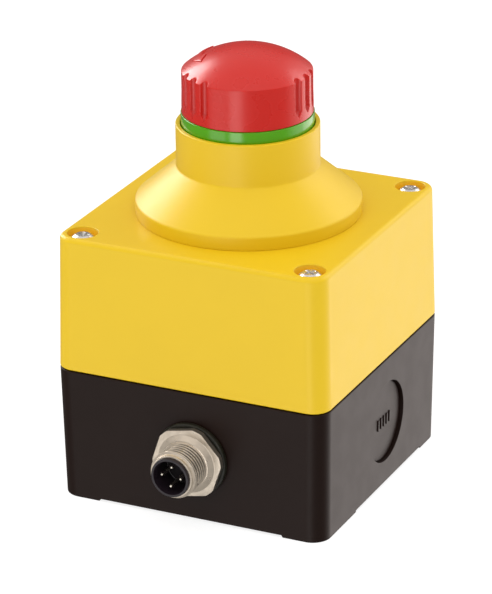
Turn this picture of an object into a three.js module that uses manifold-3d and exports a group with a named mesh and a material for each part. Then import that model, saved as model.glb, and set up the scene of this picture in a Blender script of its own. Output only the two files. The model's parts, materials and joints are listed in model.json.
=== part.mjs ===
// Emergency stop button: a twist-release mushroom button with two normally closed contact blocks,
// in a two-part square enclosure with an M12 plug connector. Millimetres, +Z up along the button's
// axis, origin on that axis in the plane that the four corner pads stand on. The connector faces -Y.
import * as THREE from 'three';
import { mergeVertices } from 'three/addons/utils/BufferGeometryUtils.js';
import Module from 'manifold-3d';

const wasm = await Module();
wasm.setup();

// Driving dimensions
const GAP = 0.3; // clearance between pieces that touch
const BOX_SIDE = 72; // square outline at the parting line
const PARTING_Z = 34;
const COVER_TOP_Z = 68.4;
const WALL = 3;
const CORNER_R = 4.7;
const BASE_DRAFT = 0.55; // how far each wall leans in, over its whole height
const COVER_DRAFT = 0.72;
const TOP_EDGE_R = 1.2;
const PAD_HEIGHT = 0.7;
const PAD_INNER = 24.5; // pads start this far from the middle
const FRONT_PAD_INNER = 15.6; // the two front pads are longer
const FLOOR_Z = 3.2;
const LIP = 1.2; // outer lip of the base, round the cover's tongue
const LEDGE_Z = 31.85; // ledge that carries the gasket
const TONGUE_Z = 33.45;

const SCREW_POS = 30; // cover screws stand on a 60 mm square
const SCREW_R = 1.5;
const SCREW_HOLE_R = 1.8;
const SCREW_HEAD_R = 2.85;
const SCREW_HEAD_HEIGHT = 1.45;
const SCREW_TIP_Z = 20;
const SLOT_HALF_WIDTH = 0.4;
const RECESS_R = 3.75;
const RECESS_DEPTH = 2.2;
const BOSS_R = 4.4;
const FIXING_POS = 22; // wall-fixing holes in the floor
const FIXING_R = 2.2;

const KNOCK_OUT = { r: 10.4, offset: 2.5, z: 16.9, depth: 0.9, groove: 1, foot: 0.4 };
const MARK = { ribs: [-2, -1, 0, 1, 2], pitch: 1.7, halfWidth: 0.35, halfLength: 1.5, rise: 0.3 };

const PLUG = { x: 1.2, z: 16.9, holeR: 8.2, flats: 17, turn: 11.2, cornerR: 9.15, chamfer: 0.15 };
const PLUG_FLANGE = { stand: 1.8, thick: 1.7, sealR: 9.5 }; // the hexagon, and the seal behind it
const PLUG_BARREL = { front: 8.1, rear: 10.2, boreR: 5.2, rimR: 5.45, bossR: 7.5 };
const PLUG_THREAD = { crestR: 6, rootR: 5.5, pitch: 1, turns: 6 }; // M12 x 1
const INSERT = { r: 4.9, cupR: 4.25, rear: 10.1, face: 12.5, floor: 5.3 };
const LOCK_NUT = { flats: 19, thick: 3.5 };
const PIN_R = 0.5;
const PIN_REACH = 11.7; // each pin goes this far out of the wall's face, and as far in
const PIN_CIRCLE_R = 2.5;
const PIN_TURN = -3.7;

const PANEL_HOLE_R = 11.25;
const COLLAR_R = 27.7;
const COLLAR_RIM_Z = 71.8; // top of the collar's upright rim
const COLLAR_NECK_R = 17.55;
const COLLAR_NECK_Z = 80.5; // where the cone meets the cylinder
const COLLAR_TOP_Z = 91.2;
const COLLAR_BORE_R = 16.4;
const COLLAR_FLOOR_Z = 79.7;
const COLLAR_LIP_EDGE = 0.25;
const COLLAR_HUB_R = 14.2; // sleeve round the bushing, inside the hollow cone
const CONE = { topR: 16, bottomR: 25, thick: 2.2 }; // inside of the hollow cone
const PANEL_GASKET = { innerR: 11.6, outerR: 14, thick: 1.2 }; // between cover and collar

const TRAVEL = 4; // how far the button goes in
const HEAD_R = 16;
const SKIRT_Z = 94.05; // lower edge of the red skirt
const DOME_EDGE_Z = 104.4;
const DOME_EDGE_R = 15.9;
const DOME_RISE = 5.9;
const HEAD_WALL = 2.2;
const RING = { outerR: 16.15, innerR: 13.9, height: 7.35 };
const FLUTE_R = 1.08;
const FLUTE_GROUPS = [0, 120, 240]; // degrees from +X to the middle flute of each group
const FLUTE_STEP = 14.5; // degrees between neighbouring flutes
const FLUTE_END_Z = 95.5;
const FLUTE_TAPER = 1.4;
const ARROW = { tip: -138, neck: -155, tail: -196, r: 11.5, shaft: 0.75, barb: 1.75, rise: 0.3 };

const STEM_R = 7.7;
const STEM_WAIST_R = 5;
const STEM_FOOT = { r: 3, length: 3.4 }; // spigot that the pusher is screwed on
const PILOT_Z = 61; // end of the hole for the pusher's screw
const SHOULDER_Z = 66; // underside of the stem's wide part
const BUSHING_R = 10.9;
const BUSHING_BORE_R = 8.2;
const BUSHING_BOTTOM_Z = 54;
const BUSHING_FLANGE = { r: 15.4, thick: 1.5 };
const BUSHING_THREAD = { pitch: 2.4, depth: 0.5 };
const BUSHING_NUT = { flats: 30, thick: 4.5 };
const SPRING_SEAT = { r: 5.4, thick: 2 }; // inward step at the foot of the bushing
const SEAL_SEAT_R = 10.2;
const LATCH_GROOVE = { r: 9.4, bottom: 69.6, top: 74 };
const WEB_Z = 96.3; // underside of the web that carries the head on the stem
const WEB_THICK = 2.6;
const WEB_R = 13.2;
const SLEEVE = { innerR: 8, outerR: 9.6 };
const CLIP_GROOVE = { r: 4.3, width: 1.2 };
const CLIP = { r: 6.8, open: 60 }; // open: degrees left out of the ring
const HELIX_WIRE_R = 0.5; // wire of the return spring and the reset spring
const RETURN_SPRING_R = 6.5;
const RESET_SPRING_R = 11.4;
const PUSHER = { halfLength: 13, halfWidth: 4.5, height: 4.8, seat: 1.4 };

const CARRIER = { ringR: 14.5, ringHeight: 4.7, halfWidth: 17, thick: 2.3, armY: 12.9, armHalf: 1.5 };
const BLOCK = { x: 10, width: 13, length: 36, bottom: 22, top: 44 };
const CHAMBER = { halfLength: 12.2, bottom: 24, top: 41.5, inner: 1.5 };
const TERMINAL = { y: 15.5, nearY: 13.4, halfWidth: 4.5, depth: 3.5, screwR: 1.25, headR: 2 };
const STRIP = { z: 35.9, halfWidth: 2.5, from: 4.5, to: 17.6, thick: 1, clampThick: 1.5 };
const CONTACT_Y = 5.9;
const TIP = { r: 1.2, height: 0.4 };
const BRIDGE = { halfLength: 7.4, halfWidth: 2, thick: 0.8 };
const PLUNGER = { halfWidth: 2.3, halfLength: 3.8, shoulder: 4, shoulderThick: 1.2 };
const PLUNGER_PIN = { r: 1, length: 3.8 }; // guides the bridge and its spring
const CONTACT_SPRING = { r: 2.2, wireR: 0.35 };

const ROUND = 40; // steps round large turned pieces
const DISC_ROUND = 24;
const SMALL_ROUND = 12;
const CORNER_STEPS = 3;
const WIRE_R = 0.7;

const paint = (color, roughness, metalness = 0) =>
  new THREE.MeshStandardMaterial({ color, roughness, metalness, flatShading: true });
const YELLOW = paint(0xf2c21c, 0.45);
const BLACK = paint(0x2a2422, 0.55);
const RED = paint(0xc8231d, 0.35);
const GREEN = paint(0x46a519, 0.4);
const RUBBER = paint(0x151515, 0.8);
const NICKEL = paint(0xd2c8b8, 0.3, 1);
const STEEL = paint(0xc4c7ca, 0.3, 1);
const BRASS = paint(0xc9a13c, 0.35, 1);
const GREY = paint(0x8d9094, 0.5);
const WHITE = paint(0xe8e6df, 0.5);
const SLEEVES = [0x5a3317, 0xe8e6df, 0x1d4fa3, 0x161616].map((color) => paint(color, 0.6));

const radians = THREE.MathUtils.degToRad;
const point = (x, y) => new THREE.Vector2(x, y);
const onCircle = (r, degrees) => point(r * Math.cos(radians(degrees)), r * Math.sin(radians(degrees)));

// Solids: three.js geometry in, booleans by manifold-3d, geometry out

function solid(geometry) {
  const bare = geometry.clone();
  bare.deleteAttribute('normal');
  bare.deleteAttribute('uv');
  const merged = mergeVertices(bare, 1e-4);
  const triVerts = [];
  const index = merged.index.array;
  for (let i = 0; i < index.length; i += 3) {
    const [a, b, c] = [index[i], index[i + 1], index[i + 2]];
    if (a !== b && b !== c && c !== a) triVerts.push(a, b, c);
  }
  const vertProperties = new Float32Array(merged.attributes.position.array);
  if (signedVolume(vertProperties, triVerts) < 0) triVerts.reverse();
  const mesh = new wasm.Mesh({ numProp: 3, vertProperties, triVerts: new Uint32Array(triVerts) });
  return new wasm.Manifold(mesh);
}

function signedVolume(vertices, triangles) {
  const corner = triangles.map((v) => new THREE.Vector3().fromArray(vertices, 3 * v));
  let volume = 0;
  for (let i = 0; i < corner.length; i += 3) {
    volume += corner[i].dot(corner[i + 1].clone().cross(corner[i + 2])) / 6;
  }
  return volume;
}

const fuse = (body, geometries) => geometries.map(solid).reduce((a, b) => a.add(b), body);
const join = (first, ...others) => fuse(solid(first), others);
const cut = (body, ...geometries) => geometries.map(solid).reduce((a, b) => a.subtract(b), body);

function geometryOf(body) {
  const mesh = body.getMesh();
  const geometry = new THREE.BufferGeometry();
  geometry.setAttribute('position', new THREE.BufferAttribute(mesh.vertProperties, 3));
  geometry.setIndex(new THREE.BufferAttribute(mesh.triVerts, 1));
  geometry.computeVertexNormals();
  return geometry;
}

// Basic shapes

const block = (x0, x1, y0, y1, z0, z1) =>
  new THREE.BoxGeometry(x1 - x0, y1 - y0, z1 - z0)
    .translate((x0 + x1) / 2, (y0 + y1) / 2, (z0 + z1) / 2);

// A profile of [radius, height] pairs turned about Z. It ends on the axis, or is closed here.
function turned(profile, steps = ROUND) {
  const points = profile.map(([r, z]) => point(r, z));
  const open = points[0].x > 0;
  if (open) points.push(points[0].clone());
  return new THREE.LatheGeometry(points, steps).rotateX(Math.PI / 2);
}

const tube = (inner, outer, z0, z1, steps = ROUND) =>
  turned([[inner, z0], [outer, z0], [outer, z1], [inner, z1]], steps);

const rod = (r, z0, z1, steps = SMALL_ROUND) => turned([[0, z0], [r, z0], [r, z1], [0, z1]], steps);

const plate = (shape, z0, z1) =>
  new THREE.ExtrudeGeometry(shape, { depth: z1 - z0, bevelEnabled: false, curveSegments: 8 })
    .translate(0, 0, z0);

function arcPoints(centreZ, r, from, to, steps) {
  const degrees = Array.from({ length: steps + 1 }, (_, i) => from + ((to - from) * i) / steps);
  return degrees.map((d) => [r * Math.cos(radians(d)), centreZ + r * Math.sin(radians(d))]);
}

function hexagon(flats, turnDegrees, holeR) {
  const cornerR = flats / Math.sqrt(3);
  const tips = Array.from({ length: 6 }, (_, i) => onCircle(cornerR, turnDegrees + 60 * i));
  const shape = new THREE.Shape(tips);
  if (holeR) shape.holes.push(new THREE.Path().absarc(0, 0, holeR, 0, 2 * Math.PI, true));
  return shape;
}

function roundedSquare(half, r) {
  const shape = new THREE.Shape();
  for (let i = 0; i < 4; i += 1) {
    const middle = onCircle((half - r) * Math.SQRT2, 45 + 90 * i);
    shape.absarc(middle.x, middle.y, r, (i * Math.PI) / 2, ((i + 1) * Math.PI) / 2, false);
  }
  return shape;
}

// A closed skin over rounded squares at rising heights, each { half, r, z }.
function loft(levels) {
  const outlines = levels.map(({ half, r, z }) => {
    const points = roundedSquare(half, r).getPoints(CORNER_STEPS).slice(0, -1);
    return points.map((p) => [p.x, p.y, z]);
  });
  const count = outlines[0].length;
  const ends = [levels[0].z, levels.at(-1).z].map((z) => [0, 0, z]);
  const positions = [...outlines.flat(), ...ends].flat();
  const bottom = count * levels.length;
  const index = [];
  for (let i = 0; i < count; i += 1) {
    const next = (i + 1) % count;
    const top = count * (levels.length - 1);
    index.push(bottom, next, i, bottom + 1, top + i, top + next);
    for (let level = 0; level < top; level += count) {
      index.push(level + i, level + next, level + count + next);
      index.push(level + i, level + count + next, level + count + i);
    }
  }
  const geometry = new THREE.BufferGeometry();
  geometry.setAttribute('position', new THREE.Float32BufferAttribute(positions, 3));
  geometry.setIndex(index);
  return geometry;
}

class Helix extends THREE.Curve {
  constructor(r, z0, z1, turns) {
    super();
    Object.assign(this, { r, z0, z1, turns });
  }

  getPoint(t, target = new THREE.Vector3()) {
    const angle = 2 * Math.PI * this.turns * t;
    const z = this.z0 + (this.z1 - this.z0) * t;
    return target.set(this.r * Math.cos(angle), this.r * Math.sin(angle), z);
  }
}

// A round wire of a few sides, swept along a curve.
function wire(curve, r, sides, steps) {
  const section = Array.from({ length: sides }, (_, i) => onCircle(r, (360 * i) / sides));
  return new THREE.ExtrudeGeometry(new THREE.Shape(section), { steps, extrudePath: curve });
}

const coil = (r, wireR, z0, z1, turns) =>
  wire(new Helix(r, z0 + wireR, z1 - wireR, turns), wireR, 5, Math.round(turns * 10));

// Placing

const group = new THREE.Group();

function add(name, shape, material, parent = group) {
  const geometry = shape.getMesh ? geometryOf(shape) : geometryOf(solid(shape));
  const mesh = new THREE.Mesh(geometry, material);
  mesh.name = name;
  parent.add(mesh);
  return mesh;
}

const moved = (geometry, x, y, z = 0) => geometry.clone().translate(x, y, z);
const corners = [[-1, -1], [1, -1], [1, 1], [-1, 1]];
const atCorners = (geometry, distance) =>
  corners.map(([sx, sy]) => moved(geometry, sx * distance, sy * distance));

// Enclosure

const baseHalf = (z) => BOX_SIDE / 2 - (BASE_DRAFT * (PARTING_Z - z)) / PARTING_Z;
const coverHalf = (z) =>
  BOX_SIDE / 2 - (COVER_DRAFT * (z - PARTING_Z)) / (COVER_TOP_Z - PARTING_Z);
const SMALLEST_CORNER_R = 0.6;
const level = (half, inset, z) =>
  ({ half: half - inset, r: Math.max(CORNER_R - inset, SMALLEST_CORNER_R), z });

function padRecess() {
  const far = BOX_SIDE;
  const lengthwise = block(-PAD_INNER, PAD_INNER, -far, far, -1, PAD_HEIGHT);
  const crosswise = block(-far, far, -FRONT_PAD_INNER, PAD_INNER, -1, PAD_HEIGHT);
  return [lengthwise, crosswise];
}

// A round recess with a fine groove round its foot, a wider groove behind it on the inside of the
// wall, and plain ribs across the middle of the disc.
function knockOut(turn) {
  const { r, offset, z, depth, groove, foot } = KNOCK_OUT;
  const wall = baseHalf(z);
  const face = wall - depth;
  const place = (geometry) => geometry.rotateZ(radians(turn));
  const onWall = (geometry) => place(geometry.rotateY(Math.PI / 2).translate(0, offset, z));
  const recess = rod(r, face, wall + 1, DISC_ROUND);
  const footGroove = tube(r - foot, r, face - foot, wall, DISC_ROUND);
  const innerGroove = tube(r - groove, r, wall - WALL - 1, wall - 2 * groove, DISC_ROUND);
  const ribs = MARK.ribs.map((step) => {
    const y = offset + MARK.pitch * step;
    return place(block(
      face - foot, face + MARK.rise,
      y - MARK.halfWidth, y + MARK.halfWidth,
      z - MARK.halfLength, z + MARK.halfLength,
    ));
  });
  return { cuts: [recess, footGroove, innerGroove].map(onWall), ribs };
}

function baseHousing() {
  const half = BOX_SIDE / 2;
  const outer = loft([level(baseHalf(0), 0, 0), level(half, 0, PARTING_Z - GAP / 2)]);
  const cavity = loft([level(baseHalf(0), WALL, FLOOR_Z), level(half, WALL, PARTING_Z + 1)]);
  const rebate = loft([level(half, LIP, LEDGE_Z), level(half, LIP, PARTING_Z + 1)]);
  const shell = cut(solid(outer), cavity, rebate);
  const bodied = fuse(shell, atCorners(rod(BOSS_R, FLOOR_Z - 1, LEDGE_Z), SCREW_POS));
  const knockOuts = [0, 90, 180].map(knockOut);
  const screwHoles = atCorners(rod(SCREW_HOLE_R, SCREW_TIP_Z - 2, PARTING_Z), SCREW_POS);
  const fixings = atCorners(rod(FIXING_R, -1, FLOOR_Z + 1), FIXING_POS);
  const plugHole = rod(PLUG.holeR, 0, BOX_SIDE, DISC_ROUND).rotateX(Math.PI / 2)
    .translate(PLUG.x, 0, PLUG.z);
  const openings = knockOuts.flatMap(({ cuts }) => cuts);
  const pierced = cut(bodied, ...screwHoles, ...fixings, plugHole, ...padRecess(), ...openings);
  return fuse(pierced, knockOuts.flatMap(({ ribs }) => ribs));
}

function coverHousing() {
  const half = BOX_SIDE / 2;
  const ceiling = COVER_TOP_Z - WALL;
  const edge = arcPoints(COVER_TOP_Z - TOP_EDGE_R, TOP_EDGE_R, 0, 90, 4);
  const top = edge.map(([out, z]) => level(coverHalf(COVER_TOP_Z), TOP_EDGE_R - out, z));
  const outer = loft([level(half, 0, PARTING_Z + GAP / 2), ...top]);
  const tongue = loft([level(half, LIP + GAP, TONGUE_Z), level(half, LIP + GAP, PARTING_Z + 2)]);
  const cavity = loft([level(half, WALL, TONGUE_Z - 1), level(coverHalf(ceiling), WALL, ceiling)]);
  const shell = cut(join(outer, tongue), cavity);
  const bodied = fuse(shell, atCorners(rod(BOSS_R, TONGUE_Z, ceiling + 1), SCREW_POS));
  const recess = rod(RECESS_R, COVER_TOP_Z - RECESS_DEPTH, COVER_TOP_Z + 1, DISC_ROUND);
  const screwHole = rod(SCREW_HOLE_R, TONGUE_Z - 1, COVER_TOP_Z);
  const panelHole = rod(PANEL_HOLE_R, ceiling - 1, COVER_TOP_Z + 1, ROUND);
  return cut(bodied, ...atCorners(recess, SCREW_POS), ...atCorners(screwHole, SCREW_POS), panelHole);
}

// It fills the ledge between the base's lip and the inside of the wall.
function coverGasket() {
  const shape = roundedSquare(BOX_SIDE / 2 - LIP - 1.3 * GAP, CORNER_R - LIP - GAP);
  const inner = roundedSquare(BOX_SIDE / 2 - WALL + GAP / 2, CORNER_R - WALL);
  shape.holes.push(new THREE.Path(inner.getPoints(CORNER_STEPS).reverse()));
  return plate(shape, LEDGE_Z + GAP, TONGUE_Z - GAP);
}

const crossSlot = (z0, z1, half) => [
  block(-half, half, -SLOT_HALF_WIDTH, SLOT_HALF_WIDTH, z0, z1),
  block(-SLOT_HALF_WIDTH, SLOT_HALF_WIDTH, -half, half, z0, z1),
];

// A pan-head screw standing upright, its head's seat at seatZ.
function screw(headR, shaftR, tipZ, seatZ, headHeight) {
  const rim = seatZ + 0.55 * headHeight;
  const top = seatZ + headHeight;
  const profile = [
    [0, tipZ], [0.6 * shaftR, tipZ], [shaftR, tipZ + 1], [shaftR, seatZ],
    [headR, seatZ], [headR, rim], [0.7 * headR, top], [0, top],
  ];
  const slots = crossSlot(top - 0.6 * headHeight, top + 1, 0.6 * headR);
  return cut(solid(turned(profile, SMALL_ROUND)), ...slots);
}

function addEnclosure() {
  add('base_housing', baseHousing(), BLACK);
  add('cover_housing', coverHousing(), YELLOW);
  add('cover_gasket', coverGasket(), RUBBER);
  const seat = COVER_TOP_Z - RECESS_DEPTH + GAP;
  corners.forEach(([sx, sy], i) => {
    const shape = screw(SCREW_HEAD_R, SCREW_R, SCREW_TIP_Z, seat, SCREW_HEAD_HEIGHT);
    add(`cover_screw_${i + 1}`, shape, STEEL).position.set(sx * SCREW_POS, sy * SCREW_POS, 0);
  });
}

// Guard collar, in three simple rings, and the bushing that clamps it to the cover

const COLLAR_WEB_Z = COLLAR_FLOOR_Z - CONE.thick; // underside of the collar's floor

function guardCone() {
  const seat = COVER_TOP_Z + GAP;
  return turned([
    [CONE.bottomR, seat], [COLLAR_R - GAP, seat], [COLLAR_R, seat + GAP],
    [COLLAR_R, COLLAR_RIM_Z - 0.6], [COLLAR_R - 0.2, COLLAR_RIM_Z],
    [COLLAR_NECK_R, COLLAR_NECK_Z], [COLLAR_BORE_R, COLLAR_NECK_Z],
    [COLLAR_BORE_R, COLLAR_FLOOR_Z], [PANEL_HOLE_R, COLLAR_FLOOR_Z],
    [PANEL_HOLE_R, COLLAR_WEB_Z], [CONE.topR, COLLAR_WEB_Z], [CONE.bottomR, COLLAR_RIM_Z - 0.8],
  ], 48);
}

function guardSleeve() {
  const bottom = COLLAR_NECK_Z + GAP;
  const edge = COLLAR_LIP_EDGE;
  return turned([
    [COLLAR_BORE_R, bottom], [COLLAR_NECK_R, bottom], [COLLAR_NECK_R, COLLAR_TOP_Z - edge],
    [COLLAR_NECK_R - edge, COLLAR_TOP_Z], [COLLAR_BORE_R + edge, COLLAR_TOP_Z],
    [COLLAR_BORE_R, COLLAR_TOP_Z - edge],
  ], 48);
}

function guardHub() {
  const bottom = COVER_TOP_Z + PANEL_GASKET.thick + GAP;
  return tube(PANEL_HOLE_R, COLLAR_HUB_R, bottom, COLLAR_WEB_Z - GAP);
}

function actuatorBushing() {
  const flange = COLLAR_FLOOR_Z + GAP;
  const top = flange + BUSHING_FLANGE.thick;
  const ceiling = COVER_TOP_Z - WALL;
  const root = BUSHING_R - BUSHING_THREAD.depth;
  const thread = [];
  for (let z = BUSHING_BOTTOM_Z + 2; z < ceiling; z += BUSHING_THREAD.pitch) {
    thread.push([BUSHING_R, z], [root, z + BUSHING_THREAD.pitch / 2]);
  }
  const seat = BUSHING_BOTTOM_Z + SPRING_SEAT.thick;
  return turned([
    [SPRING_SEAT.r, BUSHING_BOTTOM_Z], [root, BUSHING_BOTTOM_Z], ...thread,
    [BUSHING_R, ceiling + 0.5], [BUSHING_R, flange], [BUSHING_FLANGE.r, flange],
    [BUSHING_FLANGE.r, top], [SEAL_SEAT_R, top], [SEAL_SEAT_R, flange - 0.1],
    [BUSHING_BORE_R, flange - 0.1], [BUSHING_BORE_R, LATCH_GROOVE.top],
    [LATCH_GROOVE.r, LATCH_GROOVE.top], [LATCH_GROOVE.r, LATCH_GROOVE.bottom],
    [BUSHING_BORE_R, LATCH_GROOVE.bottom], [BUSHING_BORE_R, seat], [SPRING_SEAT.r, seat],
  ], 24);
}

// A flat ring with a gap in it, such as a spring clip.
function splitRing(inner, outer, openDegrees, z0, z1) {
  const from = radians(openDegrees / 2);
  const to = 2 * Math.PI - from;
  const shape = new THREE.Shape().absarc(0, 0, outer, from, to, false);
  shape.absarc(0, 0, inner, to, from, true);
  return plate(shape, z0, z1);
}

function addCollarAndBushing() {
  const ceiling = COVER_TOP_Z - WALL;
  const { innerR, outerR, thick } = PANEL_GASKET;
  const gasket = tube(innerR, outerR, COVER_TOP_Z + GAP, COVER_TOP_Z + thick - GAP, 32);
  const nut = hexagon(BUSHING_NUT.flats, 0, BUSHING_R + GAP);
  const nutTop = ceiling - GAP;
  const seal = tube(STEM_R + GAP, SEAL_SEAT_R - GAP, COLLAR_FLOOR_Z + 0.5, COLLAR_FLOOR_Z + 1.6, 24);
  const latchZ = LATCH_GROOVE.bottom + 0.4;
  const latch = splitRing(STEM_R + GAP, LATCH_GROOVE.r - GAP, 24, latchZ, LATCH_GROOVE.top - 0.4);
  const springFoot = BUSHING_BOTTOM_Z + SPRING_SEAT.thick + GAP;
  const spring = coil(RETURN_SPRING_R, HELIX_WIRE_R, springFoot, SHOULDER_Z - GAP, 4.5);
  add('guard_cone', guardCone(), YELLOW);
  add('guard_sleeve', guardSleeve(), YELLOW);
  add('guard_hub', guardHub(), YELLOW);
  add('panel_gasket', gasket, RUBBER);
  add('actuator_bushing', actuatorBushing(), BLACK);
  add('bushing_nut', plate(nut, nutTop - BUSHING_NUT.thick, nutTop), GREY);
  add('stem_seal', seal, RUBBER);
  add('latch_ring', latch, STEEL);
  add('return_spring', spring, STEEL);
}

// Head: cap, indicator ring and twist sleeve turn together on the stem

const DOME_R = (DOME_EDGE_R ** 2 + DOME_RISE ** 2) / (2 * DOME_RISE);
const DOME_CENTRE_Z = DOME_EDGE_Z + DOME_RISE - DOME_R;

// Half the section of a sphere concentric with the dome, from radius r on it up to the axis.
function domeArc(offset, r, steps) {
  const sphereR = DOME_R + offset;
  return arcPoints(DOME_CENTRE_Z, sphereR, THREE.MathUtils.radToDeg(Math.acos(r / sphereR)), 90, steps);
}

function arrow() {
  const { tip, neck, tail, r, shaft, barb, rise } = ARROW;
  const reach = r + 2 * barb; // the dome's skins are taken from here inwards
  const shape = new THREE.Shape().absarc(0, 0, r + shaft, radians(tail), radians(neck), false);
  const outline = [onCircle(r + barb, neck - 3), onCircle(r, tip), onCircle(r - barb, neck + 2)];
  outline.forEach((p) => shape.lineTo(p.x, p.y));
  shape.absarc(0, 0, r - shaft, radians(neck), radians(tail), true);
  const skin = turned([...domeArc(-1, reach, 6).reverse(), ...domeArc(rise, reach, 6)]);
  return solid(plate(shape, SKIRT_Z, DOME_EDGE_Z + 2 * DOME_RISE)).intersect(solid(skin));
}

function flute(degrees) {
  const axis = onCircle(DOME_EDGE_R, degrees);
  const full = FLUTE_END_Z + FLUTE_TAPER;
  const top = DOME_EDGE_Z + DOME_RISE;
  const profile = [[0, FLUTE_END_Z], [FLUTE_R, full], [FLUTE_R, top], [0, top]];
  return moved(turned(profile, 10), axis.x, axis.y);
}

function headCap() {
  const innerR = HEAD_R - HEAD_WALL;
  const ceiling = domeArc(-HEAD_WALL, innerR - 0.4, 4).reverse();
  const body = solid(turned([
    ...ceiling, [innerR, ceiling.at(-1)[1] - 0.8], [innerR, SKIRT_Z], [HEAD_R, SKIRT_Z],
    [DOME_EDGE_R, DOME_EDGE_Z - 0.2], ...domeArc(0, DOME_EDGE_R - 0.15, 8),
  ]));
  const flutes = FLUTE_GROUPS.flatMap((turn) =>
    [-1, 0, 1].map((step) => flute(turn + step * FLUTE_STEP)));
  return cut(body.add(arrow()), ...flutes);
}

function twistSleeve(bottom) {
  const { innerR, outerR } = SLEEVE;
  const webTop = WEB_Z + WEB_THICK;
  const hole = STEM_WAIST_R + GAP;
  return turned([
    [innerR, bottom], [outerR, bottom], [outerR, WEB_Z], [WEB_R, WEB_Z], [WEB_R, webTop],
    [hole, webTop], [hole, WEB_Z], [innerR, WEB_Z],
  ], 24);
}

function addHead() {
  const ringTop = SKIRT_Z - GAP;
  const ringBottom = ringTop - RING.height;
  const spring = coil(RESET_SPRING_R, HELIX_WIRE_R, ringBottom + 0.6, WEB_Z - GAP, 4);
  add('head_cap', headCap(), RED);
  add('indicator_ring', tube(RING.innerR, RING.outerR, ringBottom, ringTop), GREEN);
  add('twist_sleeve', twistSleeve(ringBottom - 0.2), BLACK);
  add('reset_spring', spring, STEEL);
}

// Stem, with the pusher screwed to its lower end

const CLIP_Z = WEB_Z + WEB_THICK + GAP;

function stem() {
  const foot = BUSHING_BOTTOM_Z - STEM_FOOT.length;
  const clipTop = CLIP_Z + CLIP_GROOVE.width;
  const top = clipTop + 0.8;
  return turned([
    [0, PILOT_Z], [SCREW_HOLE_R, PILOT_Z], [SCREW_HOLE_R, foot], [STEM_FOOT.r, foot],
    [STEM_FOOT.r, BUSHING_BOTTOM_Z], [STEM_WAIST_R, BUSHING_BOTTOM_Z],
    [STEM_WAIST_R, SHOULDER_Z], [STEM_R, SHOULDER_Z], [STEM_R, WEB_Z - GAP],
    [STEM_WAIST_R, WEB_Z - GAP], [STEM_WAIST_R, CLIP_Z], [CLIP_GROOVE.r, CLIP_Z],
    [CLIP_GROOVE.r, clipTop], [STEM_WAIST_R, clipTop], [STEM_WAIST_R, top], [0, top],
  ], 20);
}

function pusher(seat, top) {
  const { halfLength, halfWidth } = PUSHER;
  const bar = solid(block(-halfLength, halfLength, -halfWidth, halfWidth, seat, top));
  const screwHole = rod(SCREW_HOLE_R, seat - 1, top + 1);
  return cut(bar, screwHole, rod(STEM_FOOT.r + GAP, seat + PUSHER.seat, top + 1));
}

function addPlunger() {
  const top = BUSHING_BOTTOM_Z - GAP;
  const seat = top - PUSHER.height;
  const clipGap = GAP / 2;
  const clipTop = CLIP_Z + CLIP_GROOVE.width - clipGap;
  const clip = splitRing(CLIP_GROOVE.r + GAP, CLIP.r, CLIP.open, CLIP_Z + clipGap, clipTop);
  add('stem', stem(), WHITE);
  add('pusher', pusher(seat, top), WHITE);
  add('pusher_screw', screw(2.8, SCREW_R, 1 - PILOT_Z, GAP - seat, 1.8), STEEL).rotation.x = Math.PI;
  add('retaining_clip', clip, STEEL);
}

// Contact blocks under the bushing

function contactCarrier() {
  const { ringR, ringHeight, halfWidth, thick, armY, armHalf } = CARRIER;
  const ringZ = BUSHING_BOTTOM_Z + 1.5;
  const z = BLOCK.top + GAP;
  const halfLength = BLOCK.length / 2;
  const ring = tube(BUSHING_R + GAP, ringR, ringZ, ringZ + ringHeight, 32);
  const slab = block(-halfWidth, halfWidth, -halfLength, halfLength, z, z + thick);
  const arms = [-armY, armY].map((y) =>
    block(-4, 4, y - armHalf, y + armHalf, z + 1, ringZ + 1.5));
  const window = block(-PUSHER.halfLength - 1, PUSHER.halfLength + 1, -5.5, 5.5, z - 1, z + 3);
  return cut(join(ring, slab, ...arms), window);
}

// A box open on one long side for the lid, with a pocket at each end for the terminal.
function contactHousing() {
  const { length, bottom, top } = BLOCK;
  const half = BLOCK.width / 2;
  const reach = CHAMBER.halfLength;
  const chamber = block(CHAMBER.inner - half, half + 1, -reach, reach, CHAMBER.bottom, CHAMBER.top);
  const plungerHole = block(
    -PLUNGER.halfWidth - GAP, PLUNGER.halfWidth + GAP,
    -PLUNGER.halfLength - GAP, PLUNGER.halfLength + GAP,
    CHAMBER.top - 1, top + 1,
  );
  const slotHalf = STRIP.halfWidth + GAP;
  const pocketTop = top - TERMINAL.depth;
  const ends = [0, Math.PI].flatMap((turn) => [
    block(-TERMINAL.halfWidth, TERMINAL.halfWidth, TERMINAL.nearY, length / 2 + 1, bottom - 1, pocketTop),
    block(-slotHalf, slotHalf, reach - 1, TERMINAL.nearY + 0.6, STRIP.z - 0.7, STRIP.z + STRIP.thick + GAP),
  ].map((geometry) => geometry.rotateZ(turn)));
  const body = solid(block(-half, half, -length / 2, length / 2, bottom, top));
  return cut(body, chamber, plungerHole, ...ends);
}

function contactLid() {
  const outer = BLOCK.width / 2;
  const half = CHAMBER.halfLength - GAP;
  return block(outer - 1.3, outer - 0.1, -half, half, CHAMBER.bottom + GAP, CHAMBER.top - GAP);
}

// A strip from the contact tip, over the moving bridge, out to the terminal.
function fixedContact() {
  const { z, halfWidth, from, to, thick, clampThick } = STRIP;
  const strip = block(-halfWidth, halfWidth, from, to, z, z + thick);
  const clamp = block(-halfWidth, halfWidth, TERMINAL.nearY + GAP, to, z - clampThick, z + thick);
  const tip = moved(rod(TIP.r, z - TIP.height, z + 0.5, 10), 0, CONTACT_Y);
  const hole = rod(TERMINAL.screwR + GAP, z - clampThick - 1, z + thick + 1);
  return cut(join(strip, clamp, tip), moved(hole, 0, TERMINAL.y));
}

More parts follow.
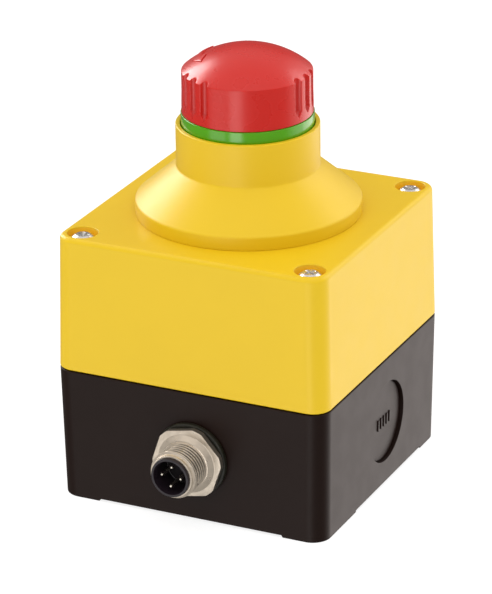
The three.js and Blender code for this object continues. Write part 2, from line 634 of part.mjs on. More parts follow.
const BRIDGE_Z = STRIP.z - TIP.height - GAP - 0.2; // top of the moving bridge, under its tips

function contactBridge() {
  const { halfLength, halfWidth, thick } = BRIDGE;
  const bottom = BRIDGE_Z - thick;
  const bar = block(-halfWidth, halfWidth, -halfLength, halfLength, bottom, BRIDGE_Z);
  const tips = [-CONTACT_Y, CONTACT_Y].map((y) =>
    moved(rod(TIP.r, BRIDGE_Z - 0.3, BRIDGE_Z + 0.2, 12), 0, y));
  return cut(join(bar, ...tips), rod(PLUNGER_PIN.r + GAP, bottom - 1, BRIDGE_Z + 1, 16));
}

function contactPlunger() {
  const { halfWidth, halfLength, shoulder, shoulderThick } = PLUNGER;
  const bottom = STRIP.z - 0.6;
  const stop = CHAMBER.top - GAP;
  const top = BLOCK.top + TRAVEL + 0.6;
  return join(
    block(-halfWidth, halfWidth, -halfLength, halfLength, bottom, top),
    block(-shoulder, shoulder, -halfLength, halfLength, stop - shoulderThick, stop),
    rod(PLUNGER_PIN.r, bottom - PLUNGER_PIN.length, bottom + 0.5, 16),
  );
}

function addContactBlock(side, name) {
  const unit = new THREE.Group();
  unit.position.x = side * BLOCK.x;
  unit.rotation.z = side > 0 ? 0 : Math.PI;
  group.add(unit);
  const { r, wireR } = CONTACT_SPRING;
  const springTop = BRIDGE_Z - BRIDGE.thick - GAP;
  const clampBottom = STRIP.z - STRIP.clampThick - GAP;
  const clampTip = STRIP.z + 3.6;
  const clampScrew = screw(TERMINAL.headR, TERMINAL.screwR, -clampTip, -clampBottom, 1.6);
  add(`contact_housing_${name}`, contactHousing(), GREY, unit);
  add(`contact_lid_${name}`, contactLid(), WHITE, unit);
  add(`contact_plunger_${name}`, contactPlunger(), RED, unit);
  add(`contact_bridge_${name}`, contactBridge(), BRASS, unit);
  add(`contact_spring_${name}`, coil(r, wireR, CHAMBER.bottom + GAP, springTop, 4), STEEL, unit);
  [['front', -side], ['rear', side]].forEach(([end, turn]) => {
    const contact = add(`fixed_contact_${name}_${end}`, fixedContact(), BRASS, unit);
    const clamp = add(`terminal_screw_${name}_${end}`, clampScrew, STEEL, unit);
    clamp.rotation.x = Math.PI;
    clamp.position.y = turn * TERMINAL.y;
    contact.rotation.z = turn > 0 ? 0 : Math.PI;
  });
}

// Connector: turned about Z here, its axis then laid along -Y, so heights are distances from the middle

const WALL_FACE = baseHalf(PLUG.z);
const FLANGE = WALL_FACE + PLUG_FLANGE.stand;
const NOSE = FLANGE + PLUG_FLANGE.thick;

function connectorShell() {
  const { boreR, rimR, bossR } = PLUG_BARREL;
  const { crestR, rootR, pitch, turns } = PLUG_THREAD;
  const rear = WALL_FACE - PLUG_BARREL.rear;
  const rim = NOSE + PLUG_BARREL.front;
  const neckR = PLUG.holeR - GAP;
  const thread = [];
  for (let i = 0; i < turns; i += 1) {
    const z = NOSE + 1.1 + pitch * i;
    thread.push([rootR, z], [crestR, z + pitch / 2]);
  }
  const barrel = turned([
    [boreR, rear], [neckR, rear], [neckR, FLANGE + 0.5], [bossR, FLANGE + 0.5], [bossR, NOSE],
    [crestR + 0.3, NOSE + 1], ...thread, [rimR, rim - 0.9], [rimR, rim - 0.1],
    [rimR - 0.1, rim], [boreR, rim],
  ], 24);
  const flats = PLUG.flats / 2;
  const turnedOff = turned([
    [0, FLANGE - 1], [PLUG.cornerR, FLANGE - 1], [PLUG.cornerR, NOSE - PLUG.chamfer],
    [flats, NOSE], [0, NOSE],
  ]);
  const hex = solid(plate(hexagon(PLUG.flats, PLUG.turn), FLANGE, NOSE)).intersect(solid(turnedOff));
  return cut(hex, rod(crestR, FLANGE - 1, NOSE + 1)).add(solid(barrel));
}

const pinCentres = [0, 1, 2, 3].map((i) => onCircle(PIN_CIRCLE_R, PIN_TURN + 90 * i));

function connectorInsert() {
  const { r, cupR } = INSERT;
  const rear = WALL_FACE - INSERT.rear;
  const face = WALL_FACE + INSERT.face;
  const floor = WALL_FACE + INSERT.floor;
  const cup = turned([
    [0, rear], [r, rear], [r, face - 0.3], [r - 0.2, face], [cupR + 0.1, face],
    [cupR, face - 0.2], [cupR, floor], [0, floor],
  ], 24);
  const key = block(3.5, r - GAP, -0.45, 0.45, floor - 0.5, face - 1)
    .rotateZ(radians(PIN_TURN + 45));
  const hole = rod(PIN_R + GAP, rear - 1, floor + 1, 8);
  return cut(join(cup, key), ...pinCentres.map(({ x, y }) => moved(hole, x, y)));
}

function connectorPin() {
  const rear = WALL_FACE - PIN_REACH;
  const tip = WALL_FACE + PIN_REACH;
  const profile = [[0, rear], [PIN_R, rear], [PIN_R, tip - 0.4], [0.6 * PIN_R, tip - 0.1], [0, tip]];
  return turned(profile, 8);
}

// The four leads run from the pins to the terminals, two of them under the contact blocks.
function leadRoute([x0, y0, z0], side, end) {
  const x = side * BLOCK.x;
  const y = end * (BLOCK.length / 2 + GAP);
  const z = STRIP.z - 0.3;
  const underBlocks = 12.5;
  const front = [[x, y - 5, z - 6], [x, y - 3, z - 0.5]];
  const rear = [
    [0.8 * x, -12, underBlocks + 0.5], [x, 10, underBlocks],
    [x, y + 4, 20], [x, y + 4.5, z - 5], [x, y + 2.5, z],
  ];
  const middle = end < 0 ? front : rear;
  const stops = [[x0, y0, z0], [x0, y0 + 2.2, z0], ...middle, [x, y, z]];
  const points = stops.map((stop) => new THREE.Vector3(...stop));
  return new THREE.CatmullRomCurve3(points, false, 'centripetal');
}

function addConnector() {
  const plug = new THREE.Group();
  plug.rotation.x = Math.PI / 2;
  plug.position.set(PLUG.x, 0, PLUG.z);
  group.add(plug);
  const seal = tube(PLUG.holeR + GAP, PLUG_FLANGE.sealR, WALL_FACE + 0.45, FLANGE - GAP, 32);
  const nutTop = WALL_FACE - WALL - GAP;
  const nut = plate(hexagon(LOCK_NUT.flats, 0, PLUG.holeR), nutTop - LOCK_NUT.thick, nutTop);
  add('connector_shell', connectorShell(), NICKEL, plug);
  add('connector_seal', seal, RUBBER, plug);
  add('connector_insert', connectorInsert(), BLACK, plug);
  add('connector_lock_nut', nut, NICKEL, plug);
  const ends = [[1, 1], [1, -1], [-1, -1], [-1, 1]]; // side and end of the terminal of each lead
  pinCentres.forEach(({ x, y }, i) => {
    add(`connector_pin_${i + 1}`, connectorPin(), BRASS, plug).position.set(x, y, 0);
    const start = [PLUG.x + x, PIN_REACH + GAP - WALL_FACE, PLUG.z + y];
    const steps = ends[i][1] < 0 ? 12 : 24;
    const lead = wire(leadRoute(start, ...ends[i]), WIRE_R, 8, steps);
    add(`lead_wire_${i + 1}`, lead, SLEEVES[i]);
  });
}

addEnclosure();
addCollarAndBushing();
addHead();
addPlunger();
add('contact_carrier', contactCarrier(), BLACK);
addContactBlock(-1, 'left');
addContactBlock(1, 'right');
addConnector();

export default group;
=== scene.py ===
# Looks of the emergency stop button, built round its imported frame.
# The frame is in metres. Shapes are made in millimetres and scaled down when they are placed.
import json
import math
import bmesh
import bpy
from mathutils import Matrix, Vector

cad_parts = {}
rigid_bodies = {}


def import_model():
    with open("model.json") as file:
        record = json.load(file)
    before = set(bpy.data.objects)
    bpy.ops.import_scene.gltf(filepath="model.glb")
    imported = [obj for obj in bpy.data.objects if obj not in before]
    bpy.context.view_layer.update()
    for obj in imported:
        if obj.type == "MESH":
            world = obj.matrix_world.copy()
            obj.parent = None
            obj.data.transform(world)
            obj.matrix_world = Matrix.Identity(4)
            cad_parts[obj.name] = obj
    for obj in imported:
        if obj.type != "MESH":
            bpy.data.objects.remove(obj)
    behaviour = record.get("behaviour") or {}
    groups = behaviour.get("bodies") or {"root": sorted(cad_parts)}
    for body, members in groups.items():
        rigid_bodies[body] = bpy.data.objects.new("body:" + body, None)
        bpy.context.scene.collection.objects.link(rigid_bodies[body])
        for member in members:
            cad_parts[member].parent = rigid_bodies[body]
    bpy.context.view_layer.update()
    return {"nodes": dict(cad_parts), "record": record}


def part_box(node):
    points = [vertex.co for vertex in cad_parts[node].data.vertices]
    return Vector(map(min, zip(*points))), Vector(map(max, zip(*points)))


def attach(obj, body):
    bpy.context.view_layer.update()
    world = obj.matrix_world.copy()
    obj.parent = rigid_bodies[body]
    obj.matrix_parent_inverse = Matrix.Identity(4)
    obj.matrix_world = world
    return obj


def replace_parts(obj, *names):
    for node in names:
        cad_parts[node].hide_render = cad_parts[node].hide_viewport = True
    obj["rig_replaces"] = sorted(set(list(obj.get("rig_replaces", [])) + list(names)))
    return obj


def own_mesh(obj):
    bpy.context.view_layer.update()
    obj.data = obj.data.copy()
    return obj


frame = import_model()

MM = 0.001
ROUND = 256  # columns round a large turned piece
FINE_ROUND = 96
CORNER_STEPS = 14  # steps round each corner of the box
ARC_STEP = 12  # degrees between the points of a small rounded edge
EDGE_STEPS = 6  # steps over the rounded rim of a hole
RIM_STEPS = 4  # steps over the rounded rim of a raised shape

record = frame["record"]
body_of = {node: body for body, nodes in record["behaviour"]["bodies"].items() for node in nodes}
slot_of = {part["node"]: part["material_slot"] for part in record["subparts"]}


def span(node):
    """Lowest and highest corner of a CAD node, in millimetres."""
    low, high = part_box(node)
    return low / MM, high / MM


# Sizes, in millimetres. What the frame gives is read from it.
GAP = 0.3
WALL = 3.0
CORNER_R = 4.7
BASE_HIGH = span("base_housing")[1]
COVER_LOW, COVER_HIGH = span("cover_housing")
COLLAR_R = span("guard_cone")[1].x
COLLAR_TOP_Z = span("guard_sleeve")[1].z
HALF = BASE_HIGH.x
PARTING_Z = BASE_HIGH.z + GAP / 2
COVER_TOP_Z = COVER_HIGH.z
TONGUE_Z = COVER_LOW.z
LEDGE_Z = TONGUE_Z - 1.6
BASE_LEAN = 0.55
COVER_LEAN = 0.72
FLOOR_Z = 3.2
LIP = 1.2
PAD_HEIGHT = 0.7
PAD_INNER = 24.5
FRONT_PAD_INNER = 15.6
SCREW_POS = sum(span("cover_screw_3"), Vector()).x / 2
SCREW_HOLE_R = 1.8
FIXING_POS = 22.0
FIXING_HOLE_R = 2.2
PLUG_HOLE_R = 8.2
RECESS_R = 3.75
RECESS_DEPTH = 2.2
BOSS_R = 4.4
PANEL_HOLE_R = 11.25
CORNERS = [(-1, -1), (1, -1), (1, 1), (-1, 1)]


def base_half(z):
    """Half the base's side at this height."""
    return HALF - BASE_LEAN * (PARTING_Z - z) / PARTING_Z


def cover_half(z):
    """Half the cover's side at this height."""
    return HALF - COVER_LEAN * (z - PARTING_Z) / (COVER_TOP_Z - PARTING_Z)


# Profiles and skins

def rounded(corners, step=ARC_STEP):
    """Points of an outline given as (across, up, radius) corners, with an arc at each rounded one."""
    points = []
    for i, (x, y, radius) in enumerate(corners):
        here = Vector((x, y))
        if not radius:
            points.append(here)
            continue
        before = (Vector(corners[i - 1][:2]) - here).normalized()
        after = (Vector(corners[(i + 1) % len(corners)][:2]) - here).normalized()
        half = before.angle(after) / 2
        centre = here + (before + after).normalized() * radius / math.sin(half)
        start = here + before * radius / math.tan(half) - centre
        end = here + after * radius / math.tan(half) - centre
        sweep = start.angle_signed(end)
        count = max(2, math.ceil(abs(math.degrees(sweep)) / step))
        for k in range(count + 1):
            turned = start.copy()
            turned.rotate(Matrix.Rotation(-sweep * k / count, 2))
            points.append(centre + turned)
    return points


def skin(rows, ring=False, capped=False):
    """A closed mesh over rows of points. A row is a loop, all loops of one length, or a single pole."""
    bm = bmesh.new()
    loops = [[bm.verts.new(p) for p in row] for row in rows]
    pairs = list(zip(loops, loops[1:]))
    if ring:
        pairs.append((loops[-1], loops[0]))
    for low, high in pairs:
        count = max(len(low), len(high))
        for i in range(count):
            j = (i + 1) % count
            around = [low[i % len(low)], low[j % len(low)], high[j % len(high)], high[i % len(high)]]
            bm.faces.new(list(dict.fromkeys(around)))
    if capped:
        bm.faces.new(loops[0][::-1])
        bm.faces.new(loops[-1])
    bmesh.ops.recalc_face_normals(bm, faces=bm.faces)
    mesh = bpy.data.meshes.new("tool")
    bm.to_mesh(mesh)
    bm.free()
    tool = bpy.data.objects.new("tool", mesh)
    bpy.context.scene.collection.objects.link(tool)
    return tool


def circle(r, z, steps):
    if r < 1e-6:
        return [Vector((0, 0, z))]
    angles = [math.tau * i / steps for i in range(steps)]
    return [Vector((r * math.cos(a), r * math.sin(a), z)) for a in angles]


def lathe(corners, steps=ROUND):
    """Turn an outline of (radius, height, rounding) about Z. It ends on the axis or closes on itself."""
    points = rounded(corners)
    return skin([circle(p.x, p.y, steps) for p in points], ring=points[0].x > 1e-6)


def rounded_rectangle(half_x, half_y, r, z, steps=CORNER_STEPS):
    points = []
    for quarter, (sx, sy) in enumerate([(1, 1), (-1, 1), (-1, -1), (1, -1)]):
        centre = Vector((sx * (half_x - r), sy * (half_y - r)))
        for k in range(steps + 1):
            a = math.pi / 2 * (quarter + k / steps)
            points.append(Vector((centre.x + r * math.cos(a), centre.y + r * math.sin(a), z)))
    return points


def moved(tool, matrix):
    tool.data.transform(matrix)
    return tool


def shifted(tool, x=0.0, y=0.0, z=0.0):
    return moved(tool, Matrix.Translation((x, y, z)))


def merged(tools):
    """Several separate meshes as one object."""
    bm = bmesh.new()
    for tool in tools:
        bm.from_mesh(tool.data)
        bpy.data.objects.remove(tool)
    mesh = bpy.data.meshes.new("tool")
    bm.to_mesh(mesh)
    bm.free()
    tool = bpy.data.objects.new("tool", mesh)
    bpy.context.scene.collection.objects.link(tool)
    return tool


def applied(piece):
    """Make a piece's modifiers final."""
    graph = bpy.context.evaluated_depsgraph_get()
    shape = piece.evaluated_get(graph)
    mesh = bpy.data.meshes.new_from_object(shape, preserve_all_data_layers=True, depsgraph=graph)
    piece.modifiers.clear()
    piece.data = mesh
    return piece


def change(piece, operation, tools):
    """UNION, DIFFERENCE or INTERSECT with tools that don't touch each other."""
    tool = merged(tools)
    modifier = piece.modifiers.new("change", "BOOLEAN")
    modifier.operation = operation
    modifier.object = tool
    modifier.solver = "EXACT"
    applied(piece)
    bpy.data.objects.remove(tool)
    return piece


def place(piece, name, nodes, material, sharp=32):
    """Shade a finished shape, scale it to metres and let it stand for its CAD nodes."""
    node = nodes[0]
    piece.name = name
    piece.data.name = name
    piece.data.transform(Matrix.Scale(MM, 4))
    piece.data.materials.clear()
    piece.data.materials.append(material)
    piece.data.shade_smooth()
    piece.data.set_sharp_from_angle(angle=math.radians(sharp))
    weighted = piece.modifiers.new("weighted", "WEIGHTED_NORMAL")
    weighted.keep_sharp = True
    applied(piece)
    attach(piece, body_of[node])
    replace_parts(piece, *nodes)
    return piece


# Materials

class Shader:
    """A Principled material with helpers for its node tree. Lengths in it are millimetres."""

    def __init__(self, name, roughness, metallic=0.0, **sockets):
        self.material = bpy.data.materials.new(name)
        self.material.use_nodes = True
        self.tree = self.material.node_tree
        self.bsdf = self.tree.nodes["Principled BSDF"]
        self.bsdf.inputs["Metallic"].default_value = metallic
        self.bsdf.inputs["Roughness"].default_value = roughness
        for label, value in sockets.items():
            self.bsdf.inputs[label.replace("_", " ")].default_value = value
        coordinates = self.tree.nodes.new("ShaderNodeTexCoord")
        self.millimetres = self.vector("MULTIPLY", coordinates.outputs["Object"], (1 / MM, 1 / MM, 1 / MM))

    def link(self, value, socket):
        if isinstance(value, bpy.types.NodeSocket):
            self.tree.links.new(value, socket)
        else:
            socket.default_value = value

    def vector(self, operation, a, b):
        node = self.tree.nodes.new("ShaderNodeVectorMath")
        node.operation = operation
        self.link(a, node.inputs[0])
        self.link(b, node.inputs[1])
        return node.outputs[0]

    def math(self, operation, a, b=0.0):
        node = self.tree.nodes.new("ShaderNodeMath")
        node.operation = operation
        self.link(a, node.inputs[0])
        self.link(b, node.inputs[1])
        return node.outputs[0]

    def length(self, vector):
        node = self.tree.nodes.new("ShaderNodeVectorMath")
        node.operation = "LENGTH"
        self.link(vector, node.inputs[0])
        return node.outputs["Value"]

    def parts(self, vector):
        """Sockets X, Y and Z of a vector."""
        node = self.tree.nodes.new("ShaderNodeSeparateXYZ")
        self.link(vector, node.inputs[0])
        return node.outputs

    def noise(self, size, detail=2.0, rough=0.5, stretch=None):
        """Noise from 0 to 1 whose patches are about size millimetres wide."""
        node = self.tree.nodes.new("ShaderNodeTexNoise")
        node.inputs["Scale"].default_value = 1 / size
        node.inputs["Detail"].default_value = detail
        node.inputs["Roughness"].default_value = rough
        at = self.vector("MULTIPLY", self.millimetres, stretch) if stretch else self.millimetres
        self.link(at, node.inputs["Vector"])
        return node.outputs["Fac"]

    def ramp(self, value, low, high, to_low=0.0, to_high=1.0):
        node = self.tree.nodes.new("ShaderNodeMapRange")
        node.interpolation_type = "SMOOTHSTEP"
        self.link(value, node.inputs["Value"])
        for socket, number in zip(node.inputs[1:5], (low, high, to_low, to_high)):
            socket.default_value = number
        return node.outputs["Result"]

    def mix(self, factor, a, b):
        node = self.tree.nodes.new("ShaderNodeMix")
        node.data_type = "RGBA"
        self.link(factor, node.inputs["Factor"])
        for socket, colour in ((node.inputs["A"], a), (node.inputs["B"], b)):
            self.link(colour if isinstance(colour, bpy.types.NodeSocket) else (*colour, 1.0), socket)
        return node.outputs["Result"]

    def colour(self, value):
        self.link(value, self.bsdf.inputs["Base Color"])

    def roughness(self, value):
        self.link(value, self.bsdf.inputs["Roughness"])

    def bump(self, *layers):
        """Raise the surface by layers of (height, millimetres)."""
        normal = None
        for height, distance in layers:
            node = self.tree.nodes.new("ShaderNodeBump")
            node.inputs["Strength"].default_value = 1.0
            node.inputs["Distance"].default_value = distance * MM
            self.link(height, node.inputs["Height"])
            if normal is not None:
                self.link(normal, node.inputs["Normal"])
            normal = node.outputs["Normal"]
        self.link(normal, self.bsdf.inputs["Normal"])


def tone(colour, factor):
    return tuple(channel * factor for channel in colour)


def moulded(name, colour, roughness, grain=0.35, depth=0.004, variation=0.03, well_shade_colour=None, **sockets):
    """Injection-moulded plastic: faint flow clouds, a fine grain and slightly uneven gloss, and, if a well
    shade colour is given, orange shade painted on the walls of the screw recesses.
    """
    shader = Shader(name, roughness, **sockets)
    clouds = shader.ramp(shader.noise(14.0, 3.0), 0.3, 0.7)
    speckle = shader.ramp(shader.noise(0.5, 2.0), 0.35, 0.65)
    base = shader.mix(clouds, tone(colour, 1 - variation), tone(colour, 1 + variation / 2))
    surface = shader.mix(shader.math("MULTIPLY", speckle, 0.25), base, tone(colour, 1 - variation))
    # Painted shade: an orange tint on the screw recess walls stands in for the shade and bounced light inside
    # them.
    if well_shade_colour:
        surface = shader.mix(screw_well_shade_mask(shader), surface, well_shade_colour)
    shader.colour(surface)
    patches = shader.noise(5.0, 3.0)
    shader.roughness(shader.ramp(patches, 0.3, 0.7, roughness - 0.015, roughness + 0.015))
    shader.bump((shader.noise(grain, 3.0, 0.6), depth), (shader.noise(9.0, 1.0), 0.004))
    return shader.material


def screw_well_shade_mask(shader):
    """1 on the walls of the four screw recesses in the cover, where orange shade is painted, 0 elsewhere."""
    fade_across, fade_down = 0.2, 0.6
    folded = shader.vector("ABSOLUTE", shader.millimetres, (0, 0, 0))
    across = shader.vector("SUBTRACT", folded, (SCREW_POS, SCREW_POS, 0))
    flat = shader.vector("MULTIPLY", across, (1.0, 1.0, 0.0))
    height = shader.parts(shader.millimetres)["Z"]
    near = shader.ramp(shader.length(flat), RECESS_R, RECESS_R + fade_across, 1.0, 0.0)
    low = shader.ramp(height, COVER_TOP_Z - fade_down, COVER_TOP_Z, 1.0, 0.0)
    return shader.math("MULTIPLY", near, low)


def rubber(name, colour):
    shader = Shader(name, 0.55)
    dust = shader.ramp(shader.noise(1.2, 4.0, 0.65), 0.45, 0.75)
    shader.colour(shader.mix(dust, colour, tone(colour, 1.8)))
    shader.roughness(shader.ramp(shader.noise(2.5, 3.0), 0.3, 0.7, 0.45, 0.65))
    shader.bump((shader.noise(0.25, 3.0, 0.6), 0.008))
    return shader.material


def plug_metal(name, colour, roughness, groove=0.16, depth=0.001):
    """Satin nickel with the fine lines of a lathe, with shade painted into the thread's roots and behind the
    flange.
    """
    shader = Shader(name, roughness, metallic=0.6)
    across = shader.vector("SUBTRACT", shader.millimetres, (PLUG_X, 0, PLUG_Z))
    flat = shader.vector("MULTIPLY", across, (1.0, 0.0, 1.0))
    radius = shader.length(flat)
    along = shader.parts(across)["Y"]
    lines = []
    for position in (radius, along):
        wobble = shader.tree.nodes.new("ShaderNodeTexNoise")
        wobble.noise_dimensions = "1D"
        wobble.inputs["Scale"].default_value = 1 / groove
        wobble.inputs["Detail"].default_value = 3.0
        shader.link(position, wobble.inputs["W"])
        lines.append(wobble.outputs["Fac"])
    turned = shader.math("ADD", *lines)
    stains = shader.ramp(shader.noise(2.2, 4.0, 0.6), 0.35, 0.75)
    clean = shader.mix(stains, colour, tone(colour, 0.86))
    # Painted shade: the thread's roots and the metal behind the flange are darkened in the colour.
    out = shader.math("MULTIPLY", along, -1.0)
    root = shader.ramp(radius, THREAD_R - 0.4, THREAD_R - 0.04, 1.0, 0.0)
    threaded = shader.ramp(out, RIM_D - 1.3, RIM_D - 1.0, 1.0, 0.0)
    behind = shader.ramp(out, NOSE_D - 0.3, NOSE_D - 0.1, 0.8, 0.0)
    painted_shade = shader.math("MAXIMUM", shader.math("MULTIPLY", root, threaded), behind)
    shader.colour(shader.mix(painted_shade, clean, tone(colour, 0.1)))
    shader.roughness(shader.ramp(shader.noise(1.4, 3.0), 0.3, 0.7, roughness - 0.06, roughness + 0.08))
    shader.bump((turned, depth), (shader.noise(0.4, 2.0), 0.002))
    return shader.material


def plated(name, colour, roughness, brushed=(1.0, 1.0, 6.0)):
    """Drawn or stamped metal with fine lines across its length."""
    shader = Shader(name, roughness, metallic=1.0)
    lines = shader.noise(0.5, 4.0, 0.65, brushed)
    stains = shader.ramp(shader.noise(1.8, 4.0, 0.6), 0.35, 0.75)
    shader.colour(shader.mix(stains, colour, tone(colour, 0.82)))
    shader.roughness(shader.ramp(lines, 0.3, 0.7, roughness - 0.06, roughness + 0.08))
    shader.bump((lines, 0.003))
    return shader.material


plug_middle = sum(span("connector_seal"), Vector()) / 2
PLUG_X = plug_middle.x
PLUG_Z = plug_middle.z
WALL_FACE = base_half(PLUG_Z)
FLANGE_D = WALL_FACE + 1.8  # distances of the plug's steps from the button's axis
NOSE_D = FLANGE_D + 1.7
RIM_D = NOSE_D + 8.1
THREAD_R = 6.0

MATERIALS = {
    "yellow_plastic": moulded(
        "yellow_plastic", (0.78, 0.52, 0.009), 0.42, depth=0.005, variation=0.01,
        # Its well colour is orange shade painted on the screw recess walls.
        well_shade_colour=(0.95, 0.55, 0.02), Specular_IOR_Level=0.3),
    "black_plastic": moulded(
        "black_plastic", (0.014, 0.0063, 0.0044), 0.42, depth=0.008, variation=0.03, Specular_IOR_Level=0.17),
    "red_plastic": moulded(
        "red_plastic", (0.575, 0.0095, 0.004), 0.28, grain=0.3, depth=0.002, variation=0.012),
    "green_plastic": moulded(
        "green_plastic", (0.083, 0.36, 0.001), 0.18, grain=0.3, depth=0.0015, Specular_IOR_Level=0.7),
    "grey_plastic": moulded("grey_plastic", (0.27, 0.28, 0.3), 0.5),
    "white_plastic": moulded("white_plastic", (0.78, 0.77, 0.72), 0.45),
    "rubber": rubber("rubber", (0.0115, 0.0105, 0.005)),
    "nickel": plug_metal("nickel", (0.71, 0.615, 0.5), 0.33),
    "screw_steel": plated("screw_steel", (0.72, 0.70, 0.68), 0.26),
    "spring_steel": plated("spring_steel", (0.5, 0.5, 0.52), 0.3),
    "brass": plated("brass", (0.72, 0.5, 0.18), 0.3),
    "pin_metal": plated("pin_metal", (0.88, 0.82, 0.7), 0.22),
    "wire_brown": moulded("wire_brown", (0.1, 0.04, 0.015), 0.4),
    "wire_white": moulded("wire_white", (0.78, 0.77, 0.72), 0.4),
    "wire_blue": moulded("wire_blue", (0.02, 0.08, 0.35), 0.4),
    "wire_black": moulded("wire_black", (0.01, 0.01, 0.01), 0.4),
}
GLOSS_BLACK = moulded("gloss_black", (0.014, 0.009, 0.013), 0.3, grain=0.4, depth=0.0008)


def finish(piece, name, *nodes, material=None, sharp=32):
    return place(piece, name, nodes, material or MATERIALS[slot_of[nodes[0]]], sharp)


# Cutters and small shapes

def hole(r, bottom, face, lip=0.25, floor_round=0.0, steps=FINE_ROUND):
    """A cutter for a round hole that leaves the rim at height face rounded by lip."""
    over = 0.004  # keeps the end of the rounding just clear of the face
    points = rounded([(0, bottom, 0), (r, bottom, floor_round), (r, face - lip, 0), (0, face, 0)])[:-1]
    for k in range(1, EDGE_STEPS + 1):
        a = math.radians(90 * k / EDGE_STEPS)
        points.append(Vector((r + lip * (1 - math.cos(a)), face - lip * (1 - math.sin(a)) + over)))
    points += [Vector((r + lip, face + 2)), Vector((0, face + 2))]
    return skin([circle(p.x, p.y, steps) for p in points])


def box_skin(profile, reference):
    """Skin a profile of (half side, height, rounding) round a square of outer half side reference(z)."""
    rows = []
    closing = [(0, profile[-1][1], 0), (0, profile[0][1], 0)]  # where both ends run to the middle
    for point in rounded(profile + closing)[:-2]:
        r = max(CORNER_R - (reference(point.y) - point.x), 0.8)
        rows.append(rounded_rectangle(point.x, point.x, r, point.y))
    return skin(rows, capped=True)


def at_corners(make, distance):
    return [shifted(make(), sx * distance, sy * distance) for sx, sy in CORNERS]


# Enclosure

KNOCK_OUT_R = 10.4
KNOCK_OUT_OFFSET = 2.5
KNOCK_OUT_Z = 16.9
KNOCK_OUT_DEPTH = 0.9
FOOT_GROOVE = 0.4
BACK_GROOVE = 1.0
BACK_GROOVE_FLOOR = 2.0  # below the wall's outer face
RIB_PITCH = 1.7
RIBS = (-2, -1, 0, 1, 2)
WALL_LEAN = math.atan(BASE_LEAN / PARTING_Z)


def on_wall(tool, turn):
    """Stand a tool made along +Z on the outer face of the wall that +X turned by turn degrees meets."""
    upright = Matrix.Rotation(math.radians(90) + WALL_LEAN, 4, "Y")
    out = Matrix.Translation((base_half(KNOCK_OUT_Z), KNOCK_OUT_OFFSET, KNOCK_OUT_Z))
    return moved(tool, Matrix.Rotation(math.radians(turn), 4, "Z") @ out @ upright)


def ring_cutter(inner, outer, low, high, edge):
    corners = [(inner, low), (outer, low), (outer, high), (inner, high)]
    return lathe([(r, z, edge) for r, z in corners], FINE_ROUND)


def knock_out_cutters(turn):
    """The recess, the fine groove round its foot, and the groove behind it inside the wall."""
    face = -KNOCK_OUT_DEPTH
    return [on_wall(cutter, turn) for cutter in (
        hole(KNOCK_OUT_R, face, 0, 0.12, 0.0),
        ring_cutter(KNOCK_OUT_R - FOOT_GROOVE, KNOCK_OUT_R + 0.05, face - FOOT_GROOVE, face + 0.2, 0),
        ring_cutter(KNOCK_OUT_R - BACK_GROOVE, KNOCK_OUT_R, -WALL - 1, -BACK_GROOVE_FLOOR, 0.2),
    )]


def knock_out_rib(step):
    """One of the short ribs across the middle of the disc."""
    half_long, half_wide, rise, root, edge = 1.5, 0.35, 0.3, 0.4, 0.1
    corner_r = half_wide - 0.02
    top = rise - KNOCK_OUT_DEPTH
    rows = [rounded_rectangle(half_long, half_wide, corner_r, -KNOCK_OUT_DEPTH - root, 6)]
    for k in range(RIM_STEPS + 1):
        a = math.radians(90 * k / RIM_STEPS)
        inset = edge * (1 - math.cos(a))
        z = top - edge * (1 - math.sin(a))
        rows.append(rounded_rectangle(half_long - inset, half_wide - inset, corner_r - inset, z, 6))
    return shifted(skin(rows, capped=True), y=RIB_PITCH * step)


def pad_slab(low_x, high_x, low_y, high_y):
    """The set-back underside between two rows of pads, with slanted ends."""
    rows = []
    for z in (-1.0, 0.0, PAD_HEIGHT):
        slant = 0.6 * (PAD_HEIGHT - z)
        rows.append([
            Vector((low_x - slant, low_y - slant, z)), Vector((high_x + slant, low_y - slant, z)),
            Vector((high_x + slant, high_y + slant, z)), Vector((low_x - slant, high_y + slant, z)),
        ])
    return skin(rows, capped=True)


def base_housing():
    inner = base_half(LEDGE_Z) - WALL
    shell = box_skin([
        (inner - 0.5, FLOOR_Z, 1.2), (inner, LEDGE_Z, 0.2), (HALF - LIP, LEDGE_Z, 0.1),
        (HALF - LIP, PARTING_Z - GAP / 2, 0.15), (HALF, PARTING_Z - GAP / 2, 0.22),
        (base_half(0), 0, 0.35),
    ], base_half)
    change(shell, "UNION", at_corners(
        lambda: lathe([
            (0, FLOOR_Z - 1, 0), (BOSS_R, FLOOR_Z - 1, 0), (BOSS_R, LEDGE_Z, 0.2), (0, LEDGE_Z, 0),
        ], 64), SCREW_POS))
    far = 2 * HALF  # well past the walls
    for sides in ((-PAD_INNER, PAD_INNER, -far, far), (-far, far, -FRONT_PAD_INNER, PAD_INNER)):
        change(shell, "DIFFERENCE", [pad_slab(*sides)])
    cutters = at_corners(lambda: hole(SCREW_HOLE_R, 18, LEDGE_Z, 0.15, steps=48), SCREW_POS)
    down = Matrix.Translation((0, 0, PAD_HEIGHT)) @ Matrix.Rotation(math.pi, 4, "X")
    cutters += at_corners(
        lambda: moved(hole(FIXING_HOLE_R, -FLOOR_Z - 1, 0, 0.3, steps=48), down), FIXING_POS)
    on_face = Matrix.Translation((PLUG_X, -base_half(PLUG_Z), PLUG_Z))
    outwards = Matrix.Rotation(math.pi / 2 - WALL_LEAN, 4, "X")
    cutters.append(moved(hole(PLUG_HOLE_R, -3 * WALL, 0, 0.2), on_face @ outwards))
    change(shell, "DIFFERENCE", cutters)
    turns = (0, 90, 180)
    knock_outs = [knock_out_cutters(turn) for turn in turns]
    for same_kind in zip(*knock_outs):
        change(shell, "DIFFERENCE", same_kind)
    ribs = [on_wall(knock_out_rib(step), turn) for turn in turns for step in RIBS]
    return change(shell, "UNION", ribs)


